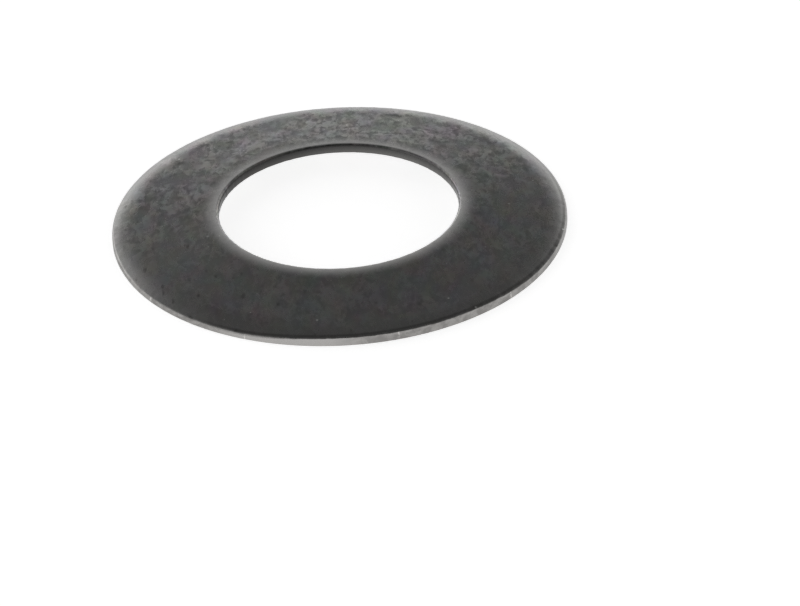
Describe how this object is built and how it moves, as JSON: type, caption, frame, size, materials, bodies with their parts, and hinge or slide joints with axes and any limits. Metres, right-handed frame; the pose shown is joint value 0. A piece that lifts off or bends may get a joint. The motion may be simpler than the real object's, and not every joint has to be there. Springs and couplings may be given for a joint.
{
  "type": "disc spring",
  "caption": "Coned ring of spring steel that flattens under an axial load, with a central hole for a guide rod and softly rolled edges on its upper face.",
  "frame": {"origin": "on the ring's axis, in the plane that its lower outer edge rests on", "axes": "+Z along the axis, towards the raised edge of the hole; X and Y lie in the plane it rests on, and the ring is round"},
  "size_m": [0.0313, 0.0312, 0.0019],
  "materials": {
    "spring_steel": "hardened and blackened spring steel, satin, mottled, with small pits and a burnished edge at the hole"
  },
  "bodies": {
    "root": {"disc_spring": "spring_steel"}
  },
  "joints": []
}
